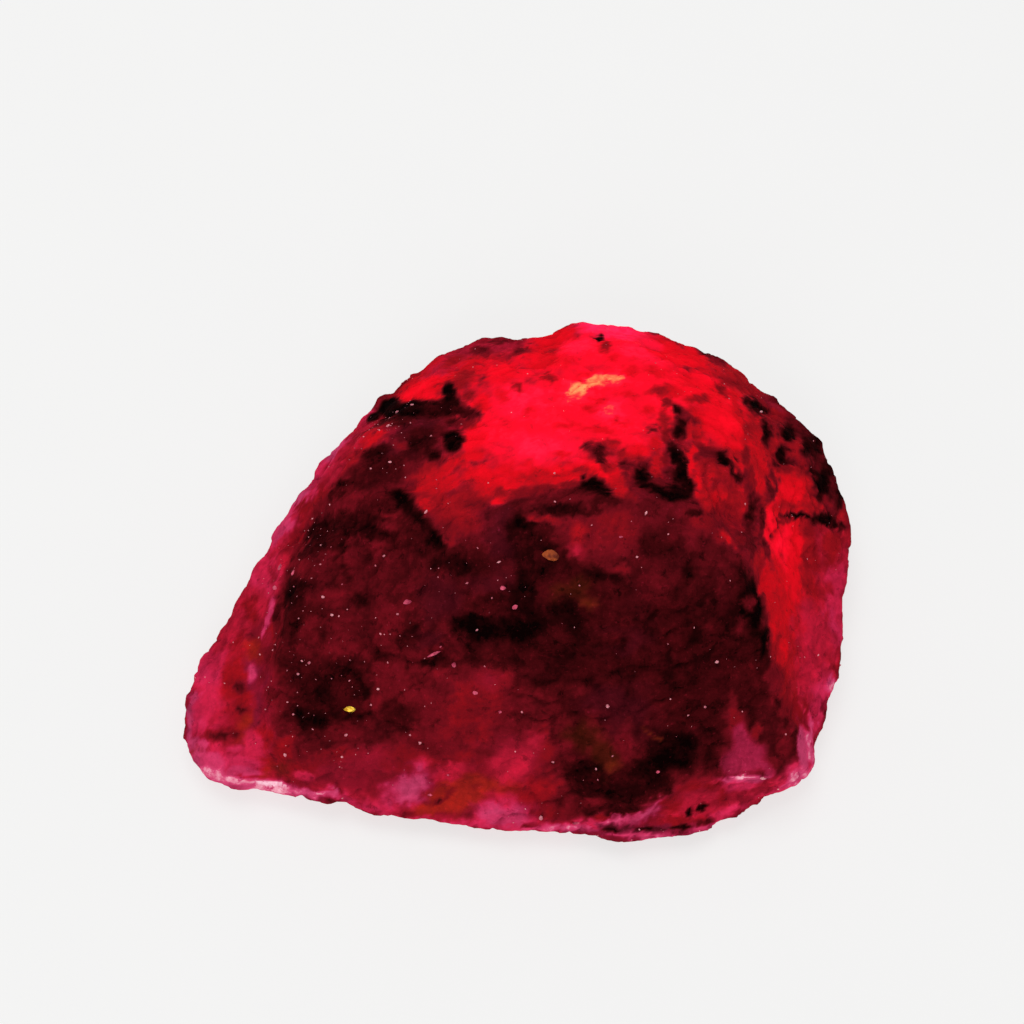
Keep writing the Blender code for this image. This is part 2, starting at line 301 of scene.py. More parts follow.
MIDDLE = [
    ("plum", [(503, 538, 18, 26), (494, 584, 22, 12), (620, 640, 26, 12)]),
    ("soot", [
        (533, 548, 17, 30), (555, 616, 34, 26), (524, 606, 24, 20), (604, 580, 32, 8, -22),
        (700, 612, 8, 42), (732, 620, 16, 38, 12),
    ]),
    ("black", [
        (498, 629, 38, 14), (470, 620, 15, 9), (528, 592, 13, 20), (620, 584, 16, 6, -30),
        (748, 606, 6, 24, 16), (528, 522, 12, 8), (762, 642, 5, 15, 10), (476, 642, 14, 6),
    ]),
    ("blood", [(574, 532, 11, 12, -30), (545, 518, 20, 4, -5)]),
    ("garnet", [(622, 530, 22, 20), (490, 678, 20, 9), (708, 524, 18, 14)]),
    ("wine", [(560, 540, 8, 14)]),
    ("crimson", [(576, 550, 10, 7, -20)]),
    ("umber", [(572, 592, 26, 12)]),
    ("rust", [(590, 605, 8, 6)]),
    ("maroon", [
        (655, 585, 32, 34), (718, 586, 12, 22), (662, 534, 22, 18), (440, 655, 22, 5, 12),
        (460, 645, 20, 6), (742, 628, 5, 14), (622, 566, 14, 6, -20), (484, 602, 18, 7),
    ]),
    ("dark", [
        (515, 652, 52, 12), (674, 622, 20, 28), (590, 664, 40, 10), (664, 544, 22, 12), (468, 664, 14, 8),
        (692, 712, 20, 14), (545, 578, 18, 16), (542, 684, 16, 12), (690, 654, 40, 16),
        (450, 664, 18, 4, 8), (548, 575, 14, 12), (484, 600, 20, 7), (405, 642, 16, 6, 10),
        (690, 690, 30, 14), (612, 640, 16, 8), (562, 560, 10, 8), (610, 594, 20, 9),
    ]),
    ("soot", [
        (432, 661, 18, 3, 10), (575, 512, 24, 3), (688, 575, 6, 24, -15), (541, 566, 9, 16),
        (490, 598, 14, 6), (530, 645, 14, 7),
    ]),
    ("dark", [
        (600, 640, 18, 7), (606, 502, 14, 5), (612, 590, 14, 8), (578, 706, 8, 10), (718, 720, 10, 6),
        (575, 568, 12, 8), (545, 592, 8, 8),
    ]),
    ("maroon", [(520, 505, 12, 6), (472, 674, 14, 8), (644, 618, 9, 9)]),
    ("garnet", [(620, 570, 8, 5), (712, 538, 10, 6)]),
]
LOWER_MIDDLE = [
    ("raspberry", [(385, 762, 38, 14), (488, 680, 14, 8), (515, 758, 30, 26)]),
    ("garnet", [(470, 704, 30, 24), (545, 745, 12, 26), (410, 758, 24, 12)]),
    ("maroon", [
        (376, 728, 20, 8), (520, 705, 12, 8), (442, 690, 14, 8), (530, 712, 16, 14), (556, 728, 8, 14),
    ]),
    ("brick", [(466, 798, 28, 14), (434, 806, 22, 8, 8), (500, 790, 22, 11), (446, 786, 20, 5, 20)]),
    ("garnet", [(544, 800, 24, 20), (472, 756, 14, 6), (478, 736, 16, 9)]),
    ("blood", [(530, 792, 18, 16), (554, 778, 8, 12)]),
    ("crimson", [
        (510, 768, 20, 16), (455, 772, 20, 8, 15), (534, 738, 8, 9), (450, 820, 30, 4, -4),
        (500, 800, 18, 8), (352, 800, 44, 9, -14), (556, 824, 44, 4, -2), (422, 764, 8, 9),
    ]),
    ("cerise", [(500, 806, 20, 6), (490, 818, 20, 6), (380, 806, 20, 4, -12)]),
    # The fuchsia, orchid, pink and milky marks along the bottom rim are partly painted highlights on its
    # thin edge.
    ("fuchsia", [(408, 787, 24, 14, 38), (503, 815, 26, 12)]),
    ("orchid", [(411, 787, 15, 9, 38), (503, 818, 14, 7)]),
    ("wine", [(452, 789, 13, 3, 35), (440, 800, 8, 2, 20), (408, 812, 5, 3)]),
    ("brick", [(440, 790, 12, 5, 20), (468, 782, 16, 5, 10)]),
    ("pink", [
        (372, 810, 26, 3, -16), (340, 796, 16, 4, -26), (450, 823, 50, 3, -5), (530, 827, 50, 4, -2),
        (352, 804, 24, 3, -24), (600, 822, 26, 5),
    ]),
    ("milky_and_highlight", [(318, 795, 18, 3, -8), (334, 791, 7, 2, -30), (572, 829, 44, 3)]),
]
LOWER_RIGHT = [
    ("plum", [(628, 720, 22, 34), (605, 700, 26, 12)]),
    ("wine", [(626, 745, 12, 24), (695, 778, 24, 8), (558, 770, 10, 12)]),
    ("umber", [(606, 758, 13, 18), (582, 735, 16, 12)]),
    ("soot", [
        (672, 748, 28, 24, 20), (648, 774, 26, 12), (586, 770, 18, 12), (590, 796, 20, 9),
        (622, 793, 22, 11),
    ]),
    ("black", [(674, 752, 21, 14, 30), (650, 768, 15, 9), (690, 738, 10, 9, 30)]),
    ("rust", [(653, 735, 11, 2, -35), (614, 768, 6, 6)]),
    ("wine", [(562, 798, 12, 8), (590, 802, 14, 5)]),
    ("dark", [(760, 706, 13, 34, 15), (782, 732, 12, 28, 10), (705, 704, 24, 14), (708, 740, 12, 26)]),
    ("maroon", [(776, 720, 9, 26, 12)]),
    ("dark", [(762, 670, 9, 16)]),
    ("crimson", [
        (725, 787, 42, 9, 4), (775, 785, 30, 8, 14), (752, 797, 22, 8, 14), (695, 803, 34, 12, 14),
        (690, 817, 40, 9, 8), (735, 806, 26, 8, 26),
    ]),
    ("raspberry", [(704, 794, 24, 6, 10), (742, 800, 16, 5, 20)]),
    ("garnet", [(790, 690, 9, 34, 10), (676, 822, 16, 6), (704, 822, 14, 5, 14), (674, 806, 10, 5, 14)]),
    ("mauve", [(640, 833, 50, 9), (690, 832, 20, 6, 10)]),
    # Pink, milky, fuchsia and orchid along the bottom rim: partly painted highlights on its thin edge.
    ("pink", [(735, 783, 24, 4, 6), (728, 812, 20, 4, 26), (780, 790, 24, 4, 12)]),
    ("milky_and_highlight", [(742, 777, 24, 2, 2), (675, 838, 44, 2), (622, 820, 16, 4, 14)]),
    ("fuchsia", [(652, 808, 24, 6, 36), (636, 815, 18, 4, 24), (712, 826, 20, 5, 14)]),
    ("orchid", [(648, 811, 18, 4, 34), (762, 778, 6, 3)]),
    ("garnet", [(724, 797, 7, 9), (700, 787, 20, 4, 4), (668, 800, 12, 5, 30)]),
    ("raspberry", [(760, 789, 12, 4, 14)]),
    # Grey painted shadow under the stone's front edge.
    ("painted_underside_shade", [(640, 829, 40, 3)]),
]
# The red, glow, scarlet and bright marks here are a painted glow of light shining through the stone; the
# pink and milky ones along the rim are partly painted highlights on its thin edge.
RIGHT_SIDE = [
    ("red", [(782, 606, 18, 36)]),
    ("blood", [(789, 656, 12, 26, -10)]),
    ("crimson", [(816, 642, 24, 44), (832, 552, 16, 26), (806, 690, 16, 26)]),
    ("pink", [
        (836, 620, 9, 26), (826, 688, 12, 16), (810, 735, 11, 34, 5), (822, 712, 7, 18, 10),
        (838, 572, 7, 10), (800, 770, 24, 13, 25),
    ]),
    ("milky_and_highlight", [(798, 776, 14, 6, 30), (811, 745, 4, 22, 3), (830, 684, 4, 6)]),
    ("cerise", [(843, 590, 9, 30)]),
    ("glow", [(784, 548, 14, 38, 3)]),
    ("scarlet", [(790, 560, 10, 34)]),
    ("blood", [
        (812, 552, 11, 32), (806, 470, 12, 6), (812, 585, 8, 14), (722, 472, 26, 8, -20), (800, 506, 24, 5),
        (722, 500, 24, 18), (732, 432, 8, 10),
    ]),
    ("garnet", [(798, 704, 7, 26), (808, 484, 6, 14), (832, 556, 8, 12), (785, 521, 10, 3)]),
    ("bright", [(720, 425, 24, 18, -10)]),
    ("red", [
        (776, 582, 10, 24), (706, 486, 8, 16), (812, 490, 6, 10), (716, 498, 10, 8), (736, 376, 8, 5, -30),
        (728, 537, 6, 10, 38), (737, 402, 8, 24, -20), (738, 374, 16, 6, -30),
    ]),
    ("maroon", [
        (800, 438, 46, 18, -50), (836, 492, 11, 32, -14), (750, 492, 6, 22, 20), (771, 485, 4, 22),
        (749, 535, 9, 18), (710, 548, 20, 8, -40), (764, 512, 4, 20), (762, 548, 5, 16, -8),
        (790, 462, 8, 4),
    ]),
    ("blood", [
        (775, 414, 14, 12, -30), (768, 444, 8, 20), (796, 450, 9, 10), (744, 386, 26, 8, -30),
        (842, 508, 6, 14), (758, 560, 6, 14, -10), (752, 425, 8, 14), (735, 374, 16, 4, -26),
        (806, 470, 6, 8),
    ]),
    ("soot", [
        (752, 404, 8, 5, -30), (760, 412, 7, 5), (766, 432, 5, 12), (787, 434, 8, 8), (780, 458, 7, 10),
        (823, 476, 10, 24, -22), (752, 515, 6, 9), (735, 468, 4, 10, 25), (812, 446, 7, 20, -38),
        (795, 516, 14, 2, -4), (820, 518, 12, 6), (838, 526, 10, 3, -15), (841, 500, 5, 16, -10),
    ]),
    ("black", [(823, 478, 8, 16, -20), (826, 519, 8, 5), (789, 436, 4, 6)]),
]
BLOTCHES = (
    BROAD_FIELDS + GLOWING_TOP + DARK_ISLANDS + UPPER_LEFT + LEFT_EDGE + LEFT_LOBE
    + DARK_BREAK + MIDDLE + LOWER_MIDDLE + LOWER_RIGHT + RIGHT_SIDE
)
# Marks with clean borders, painted over the rest. The bright, hot, ember, rose, red and scarlet
# ones are a painted glow of light shining through the stone and its hot spot, the milky, pale,
# orchid and fuchsia streaks along the rims are partly painted highlights, and the grey mark and
# the black ones along the bottom edge are painted shadow under the front edge.
CRISP_MARKS = [
    ("bright", [(469, 442, 5, 10), (484, 402, 6, 8), (668, 355, 26, 9, -26)]),
    ("hot", [(577, 391, 11, 7, 25), (592, 382, 12, 6, 25), (611, 377, 15, 3.5)]),
    ("ember", [(600, 386, 7, 2, 10), (572, 398, 8, 3, 20)]),
    ("garnet", [
        (468, 424, 9, 5), (468, 396, 5, 4), (763, 514, 4, 13), (752, 478, 4, 14, 10), (785, 470, 8, 4),
        (546, 488, 12, 4), (570, 485, 10, 4), (667, 402, 5, 5), (666, 436, 4, 7), (665, 459, 4, 6),
        (746, 456, 4, 9), (751, 483, 5, 10), (600, 818, 8, 3), (741, 540, 6, 5),
    ]),
    ("wine", [
        (453, 422, 10, 5), (626, 465, 8, 4), (586, 447, 5, 3), (483, 753, 10, 5), (530, 825, 8, 2),
        (784, 745, 8, 14), (734, 706, 5, 18, 2),
    ]),
    ("soot", [(424, 408, 40, 9, 2), (454, 405, 8, 10), (695, 513, 8, 4)]),
    ("black", [
        (389, 407, 12, 10, 25), (409, 408, 14, 8, -5), (449, 391, 6, 10), (374, 417, 8, 4, 30),
        (453, 441, 10, 11),
    ]),
    ("maroon", [
        (473, 413, 9, 5, -10), (439, 428, 6, 4), (277, 614, 4, 18, -6), (763, 523, 3, 13),
        (706, 822, 10, 3, 14),
    ]),
    ("dark", [(458, 411, 8, 4), (420, 432, 12, 5)]),
    ("cerise", [(254, 742, 9, 12), (304, 776, 12, 5, -15), (262, 573, 7, 12, 24)]),
    ("crimson", [(226, 641, 15, 5, 30), (702, 799, 20, 6, 12)]),
    ("raspberry", [(332, 772, 14, 7, -10), (772, 404, 14, 3, -38)]),
    ("rose", [(650, 344, 14, 5, -20)]),
    ("red", [
        (656, 444, 6, 8), (626, 455, 8, 4), (620, 485, 7, 11), (804, 484, 6, 9), (479, 407, 4, 5),
        (779, 510, 9, 4), (689, 430, 3, 10), (692, 452, 3, 8), (612, 446, 5, 3), (760, 589, 3, 8, -20),
        (770, 594, 5, 20, -8), (777, 622, 5, 22, -8), (784, 650, 5, 16, -10),
    ]),
    ("scarlet", [
        (691, 462, 3, 16, -8), (640, 450, 12, 6, -10), (791, 490, 13, 13), (698, 482, 3, 12),
        (474, 456, 10, 5, 10), (434, 386, 8, 5, 24), (497, 503, 7, 3),
    ]),
    ("blood", [(832, 542, 10, 12)]),
    ("garnet", [(736, 722, 7, 14, 6), (757, 731, 4, 9, -20)]),
    ("wine", [(777, 679, 7, 13), (776, 762, 6, 6), (748, 487, 4, 6)]),
    ("blush", [(742, 738, 9, 14, 6), (748, 756, 20, 16), (730, 763, 12, 13, 8), (768, 768, 9, 6, -40)]),
    ("pink", [(740, 787, 16, 4, 6), (240, 762, 24, 7, -8), (236, 749, 9, 4)]),
    ("fuchsia", [
        (270, 612, 3, 15, -10), (264, 632, 2, 9, -12), (252, 673, 5, 9), (212, 762, 14, 9, -20),
        (640, 834, 34, 2), (246, 771, 18, 4, -8), (504, 818, 18, 5), (203, 744, 6, 6),
    ]),
    ("orchid", [(744, 779, 20, 3, 3), (802, 748, 5, 20, 5)]),
    # Grey painted shadow under the stone's front edge.
    ("painted_underside_shade", [(612, 829, 14, 2.5, -12)]),
    ("milky_and_highlight", [
        (744, 777, 18, 1.2, 3), (268, 786, 30, 6, -9), (304, 792, 12, 3, -8), (214, 775, 16, 6, -24),
        (796, 776, 8, 4, 20), (234, 780, 12, 4, -8),
    ]),
    ("pale", [(272, 783, 16, 2.5, -9)]),
    # Those from 808 down are painted shadow along the stone's bottom edge; the rest are dark spots of the
    # stone.
    ("black", [
        (677, 410, 2.5, 5, 15), (679, 431, 3, 6), (674, 456, 2, 5), (680, 473, 6, 11, -12),
        (687, 488, 5, 10), (723, 460, 7, 4, -50), (755, 405, 5, 3, -30), (766, 430, 3, 8), (788, 434, 5, 7),
        (780, 456, 4, 8), (599, 340, 3, 2.5), (756, 615, 4, 14, -10), (764, 642, 4, 16, -8),
        (701, 808, 7, 3, 35), (690, 812, 2.5, 4), (683, 827, 11, 2), (610, 830, 9, 1.4, -12),
        (646, 829, 9, 1.0), (800, 516, 12, 1.6, -4), (826, 520, 7, 4),
    ]),
]
# How soft and how ragged the borders are in each of the two.
PAINT_ROUNDS = ((BLOTCHES, 0.6, 1.0), (CRISP_MARKS, 0.3, 0.35))

# The stone before the blotches: a finish, mottled by clouds, and painted lighter and milkier
# towards the floor, below the thin height: a painted glow where the foot's edge is thin and
# lets more light through.
PLAIN_FINISH = (0.4, 0.08, 0.0)
CLOUD_SWING = 0.22
THIN_HEIGHT = 3.5 * MM
THIN_FOOT_PAINTED_GLOW = (0.22, 0.12, 0.0)

# Where the glints crowd together, in the same terms.
GLINT_SWARMS = [
    (330, 650, 70, 60), (470, 585, 70, 30), (300, 560, 50, 50), (385, 430, 40, 40), (320, 720, 60, 50),
]
SWARM_SOFTNESS = 0.5
STRAY_GLINTS = 0.12  # the share of a swarm's crowd that lies everywhere else
GLINT_FREE_HEIGHT = 0.4 * MM
GLINTS_PER_AREA = 0.8 / MM**2
GLINT_SIZES = (0.035 * MM, 0.12 * MM)
GLINT_SEED = 11

# Single crystals that stand out, in the same terms, and how much of that size they have.
CRYSTAL_SIZE = 0.82
PALE_CRYSTALS = [
    (646, 513, 2.8, 1.4, 60), (426, 512, 3.0, 1.1, 55), (397, 412, 2.2, 1.3, 30), (390, 462, 1.8, 1.3),
    (285, 755, 1.8, 2.0), (309, 663, 2.0, 1.7, 40), (420, 743, 1.9, 1.8), (705, 707, 1.5, 1.5),
    (688, 715, 1.5, 1.4), (761, 412, 2.6, 1.0, 15), (637, 557, 1.7, 1.4), (596, 769, 1.3, 1.6),
    (541, 818, 2.4, 2.8), (553, 762, 1.8, 1.3), (346, 735, 2.0, 1.6, 30), (342, 757, 1.6, 1.4),
    (378, 689, 1.8, 1.6), (371, 705, 1.4, 1.2), (298, 674, 1.6, 1.5), (608, 706, 2.2, 2.4),
    (398, 614, 2.0, 1.4), (323, 597, 2.0, 1.7, -20), (332, 615, 2.2, 1.6, -10), (384, 556, 1.8, 1.3),
    (410, 735, 1.2, 1.2), (467, 583, 2.0, 1.2, 15), (499, 562, 2.8, 1.1, 25), (388, 426, 1.2, 2.0),
    (412, 405, 1.6, 1.3), (477, 630, 1.8, 1.2, 30), (763, 778, 4.0, 1.8, 5), (717, 662, 2.4, 1.8, 20),
]
ROSY_CRYSTALS = [
    (407, 602, 4.6, 3.0, 10), (454, 665, 2.8, 3.2), (503, 588, 3.8, 2.8), (515, 607, 3.4, 3.0, 30),
    (275, 588, 3.4, 2.4, -15), (475, 693, 3.2, 2.2, -10), (500, 712, 2.2, 1.8), (293, 573, 1.6, 2.6),
    (280, 567, 2.0, 3.0), (621, 537, 2.4, 1.4), (658, 772, 2.4, 2.0), (448, 775, 1.6, 1.2),
    (434, 654, 9.0, 1.8, 25), (576, 823, 4.0, 1.6, 5), (430, 795, 3.0, 1.4),
]
GOLD_FLECK = (350, 709, 8.0, 3.8, -8)
AMBER_GRAIN = (551, 555, 11.0, 7.0, -18)

# Colours from the darkest level to the brightest: (level, red, green, blue as they show).
# The top clear stops, orange to pale yellow, are the painted hot spot of the light shining through.
CLEAR_STOPS = [
    (0.0, 10, 2, 2), (0.1, 40, 5, 7), (0.2, 73, 10, 15), (0.32, 116, 16, 26),
    (0.48, 164, 18, 28), (0.6, 208, 12, 25), (0.74, 238, 10, 31), (0.86, 248, 24, 50),
    (0.91, 252, 84, 62), (1.0, 255, 160, 96),
]
CLOUDY_STOPS = [
    (0.0, 14, 4, 7), (0.25, 84, 22, 34), (0.45, 152, 44, 78), (0.6, 202, 70, 114),
    (0.68, 236, 188, 202), (0.76, 255, 32, 116),
]
ROSY_STOPS = [
    (0.0, 14, 3, 6), (0.25, 86, 15, 26), (0.45, 158, 28, 62), (0.6, 212, 42, 88),
    (0.74, 250, 30, 80), (0.86, 255, 52, 100),
]
RUSTY_STOPS = [(0.0, 18, 9, 5), (0.3, 96, 34, 12), (0.6, 186, 60, 26), (1.0, 240, 130, 60)]
BRIGHTEST = 1.25  # the brightness that stands at the stops' far end

FLOOR_GLOW = 2.6  # how strongly the floor gives off its own colour, to stay pale
ROOM_LIGHT = (1.0, 0.99, 0.985, 1.0)
ROOM_STRENGTH = 0.45
WALL_TONE = (0.79, 0.79, 0.786, 1.0)
# Square soft lights: where from and how wide, in lengths of the stone, and how strong.
LAMPS = {
    "key": ((-1.0, 2.0, 8.0), 5.0, 0.36),
    "fill": ((-1.0, -8.0, 5.0), 4.0, 0.24),
}


def length(name, description, millimetres):
    """A size in metres, given in millimetres of the lump."""
    return FloatProperty(
        name=name, description=description, default=millimetres * MM, unit="LENGTH"
    )


class RubyShape(bpy.types.PropertyGroup):
    skin_grid: length("Skin grid", "Spacing of the skin's points", 0.28)
    chip_width: length("Chip width", "Width of the larger chips", 2.6)
    chip_depth: length("Chip depth", "Rise of the larger chips", 0.16)
    grain_width: length("Grain width", "Width of the grown-together grains", 1.0)
    grain_depth: length("Grain depth", "Rise of the grains", 0.12)
    pit_depth: length("Pit depth", "Depth of the cracks between chips", 0.2)
    calm_height: length("Calm height", "The foot stays plane below this height", 0.9)


class RubyStage(bpy.types.PropertyGroup):
    lens: FloatProperty(
        name="Lens", description="Focal length in millimetres", default=60.0, unit="CAMERA"
    )
    elevation: FloatProperty(
        name="Elevation", description="Angle of view above the floor",
        default=math.radians(60.0), subtype="ANGLE",
    )
    distance: length("Distance", "From the camera to the point it looks at", 130.8)
    aim: FloatVectorProperty(
        name="Aim", description="The point that the camera looks at",
        default=(-1.0 * MM, 2.2 * MM, 9.0 * MM), subtype="TRANSLATION",
    )
    floor_color: FloatVectorProperty(
        name="Floor", description="Colour of the floor", subtype="COLOR",
        default=(0.26, 0.26, 0.259),
    )


# ---------------------------------------------------------------- places on the stone


def view_axes(stage):
    """The camera's forward, right and up directions, and its focal length in pixels."""
    rise = stage.elevation
    forward = Vector((0.0, math.cos(rise), -math.sin(rise)))
    right = Vector((1.0, 0.0, 0.0))
    return forward, right, right.cross(forward), stage.lens / SENSOR_WIDTH * FRAME_WIDTH


def sight_line(stage, across, down):
    """Where the camera stands, and the way it looks through a place in its frame."""
    forward, right, up, focal = view_axes(stage)
    way = forward + right * (across - FRAME_MIDDLE) / focal - up * (down - FRAME_MIDDLE) / focal
    return Vector(stage.aim) - forward * stage.distance, way.normalized()


def in_frame(stage, places):
    """Across, down and distance of many places as the camera sees them."""
    forward, right, up, focal = view_axes(stage)
    offsets = places - np.array(Vector(stage.aim) - forward * stage.distance)
    depth = offsets @ np.array(forward)
    across = FRAME_MIDDLE + focal * (offsets @ np.array(right)) / depth
    down = FRAME_MIDDLE - focal * (offsets @ np.array(up)) / depth
    return across, down, np.linalg.norm(offsets, axis=1)


class Skin:
    """The stone's surface, as places and normals that blotches and crystals are set on."""

    def __init__(self, mesh, stage):
        self.stage = stage
        self.tree = BVHTree.FromPolygons(
            [vert.co for vert in mesh.vertices], [face.vertices for face in mesh.polygons]
        )
        self.places = np.array([vert.co for vert in mesh.vertices])
        self.normals = np.array([vert.normal for vert in mesh.vertices])

    def seen(self, across, down):
        """The place that shows at a place in the frame, or the nearest one beside the stone."""
        eye, way = sight_line(self.stage, across, down)
        place, _, _, _ = self.tree.ray_cast(eye, way)
        if place is None:
            passing = eye + way * (Vector(self.stage.aim) - eye).dot(way)
            place, _, _, _ = self.tree.find_nearest(passing)
        return place

    def lean(self, place, reach=1.8 * MM):
        """The way that the surface faces around a place."""
        away = np.linalg.norm(self.places - np.array(place), axis=1)
        weights = np.exp(-((away / reach) ** 2))
        return Vector(weights @ self.normals).normalized()

    def patch_axes(self, across, down, half_length, half_width, turn=0.0):
        """Centre, long axis, short axis and normal of an oval that lies on the surface."""
        centre = self.seen(across, down)
        normal = self.lean(centre)
        angle = math.radians(turn)
        focal = view_axes(self.stage)[3]
        most_stretch = 1.5
        ends = (
            (half_length * math.cos(angle), -half_length * math.sin(angle)),
            (half_width * math.sin(angle), half_width * math.cos(angle)),
        )
        axes = []
        for right, under in ends:
            eye, way = sight_line(self.stage, across + right, down + under)
            reach = (centre - eye).dot(normal) / way.dot(normal)
            axis = eye + way * reach - centre
            straight = math.hypot(right, under) * (centre - eye).length / focal
            axes.append(axis * min(1.0, most_stretch * straight / axis.length))
        return centre, axes[0], axes[1], normal


# ---------------------------------------------------------------- nodes and objects


def fill(tree, node, inputs):
    """Fills a node's inputs from sockets or plain values."""
    for key, value in inputs.items():
        if isinstance(value, bpy.types.NodeSocket):
            tree.links.new(value, node.inputs[key])
        else:
            node.inputs[key].default_value = value


def put_node(tree, kind, inputs=None, **settings):
    """A new node with its settings and its inputs."""
    node = tree.nodes.new(kind)
    for name, value in settings.items():
        setattr(node, name, value)
    fill(tree, node, inputs or {})
    return node


def math_node(tree, operation, *values, clamp=False):
    inputs = dict(enumerate(values))
    node = put_node(tree, "ShaderNodeMath", inputs, operation=operation, use_clamp=clamp)
    return node.outputs[0]


def vector_node(tree, operation, *values, output=0):
    inputs = dict(enumerate(values))
    node = put_node(tree, "ShaderNodeVectorMath", inputs, operation=operation)
    return node.outputs[output]


def scaled(tree, vector, amount):
    inputs = {0: vector, "Scale": amount}
    return put_node(tree, "ShaderNodeVectorMath", inputs, operation="SCALE").outputs[0]


def noise_node(tree, place, scale, detail, roughness=0.5, output="Fac"):
    return put_node(tree, "ShaderNodeTexNoise", {
        "Vector": place, "Scale": scale, "Detail": detail, "Roughness": roughness,
    }).outputs[output]


def around_zero(tree, value):
    """A value from 0 to 1 as one from -0.5 to 0.5."""
    return math_node(tree, "SUBTRACT", value, 0.5)


def ragged_place(tree, place, scale, roughness, reach):
    """A place that noise moves, so that cells there get uneven borders."""
    stir = noise_node(tree, place, scale, detail=3.0, roughness=roughness, output="Color")
    off_middle = vector_node(tree, "SUBTRACT", stir, (0.5, 0.5, 0.5))
    return vector_node(tree, "ADD", place, scaled(tree, off_middle, reach))


def between(tree, value, low, high, top=1.0):
    """0 at the low value and past it, the top at the high one, and a straight rise between."""
    return put_node(tree, "ShaderNodeMapRange", {
        "Value": value, "From Min": low, "From Max": high, "To Min": 0.0, "To Max": top,
    }).outputs[0]


def mixed(tree, share, first, second):
    """A colour that goes from the first to the second as the share rises."""
    inputs = {"Factor": share, 6: first, 7: second}
    return put_node(tree, "ShaderNodeMix", inputs, data_type="RGBA").outputs[2]


def colour_ramp(tree, value, stops):
    node = put_node(tree, "ShaderNodeValToRGB", {0: value})
    ramp = node.color_ramp
    while len(ramp.elements) < len(stops):
        ramp.elements.new(1.0)
    for element, (position, *colour) in zip(ramp.elements, stops):
        element.position = position
        element.color = (*colour, 1.0)
    return node.outputs[0]


def shown_ramp(tree, value, stops):
    """A ramp whose colours are given as they show, on a scale of 255."""
    return colour_ramp(tree, value, [
        (level, *Color([channel / 255 for channel in shown]).from_srgb_to_scene_linear())
        for level, *shown in stops
    ])


def open_tree(name, kind, inputs, outputs):
    """A new tree with named sockets, given as name and kind, and what its input gives."""
    tree = bpy.data.node_groups.new(name, kind)
    for side, sockets in (("INPUT", inputs), ("OUTPUT", outputs)):
        for label, value_kind in sockets.items():
            is_length = value_kind == "Length"
            socket_type = "NodeSocketFloat" if is_length else "NodeSocket" + value_kind
            socket = tree.interface.new_socket(label, in_out=side, socket_type=socket_type)
            if is_length:
                socket.subtype = "DISTANCE"
    return tree, put_node(tree, "NodeGroupInput").outputs


def close_tree(tree, geometry, material):
    """Ends a geometry tree in real faces with their material."""
    realized = put_node(tree, "GeometryNodeRealizeInstances", {0: geometry})
    dressed = put_node(tree, "GeometryNodeSetMaterial", {
        "Geometry": realized.outputs[0], "Material": material,
    })
    put_node(tree, "NodeGroupOutput", {0: dressed.outputs[0]})


def new_material(name):
    material = bpy.data.materials.new(name)
    material.use_nodes = True
    return material, material.node_tree, material.node_tree.nodes["Principled BSDF"]


def add_object(name, data):
    made = bpy.data.objects.new(name, data)
    bpy.context.scene.collection.objects.link(made)
    return made


def add_piece(name, mesh, material=None):
    """An object that rides with the stone, with the given material if there is one."""
    piece = add_object(name, mesh)
    if material is not None:
        mesh.materials.clear()
        mesh.materials.append(material)
    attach(piece, BODY)
    return piece


def mesh_from(work, name):
    """A bmesh as a plain mesh. The bmesh goes."""
    mesh = bpy.data.meshes.new(name)
    work.to_mesh(mesh)
    work.free()
    return mesh


def settled_mesh(source, name):
    """The evaluated object's mesh under a new name. The object itself goes."""
    graph = bpy.context.evaluated_depsgraph_get()
    mesh = bpy.data.meshes.new_from_object(source.evaluated_get(graph))
    mesh.name = name
    bpy.data.objects.remove(source)
    return mesh


def grown_mesh(source, name, tree, settings):
    """The mesh that a geometry nodes tree makes from an object. The object itself goes."""
    modifier = source.modifiers.new(name, "NODES")
    modifier.node_group = tree
    identifiers = {
        socket.name: socket.identifier for socket in tree.interface.items_tree
        if socket.in_out == "INPUT"
    }
    for label, value in settings.items():
        modifier[identifiers[label]] = value
    return settled_mesh(source, name)


# ---------------------------------------------------------------- relief


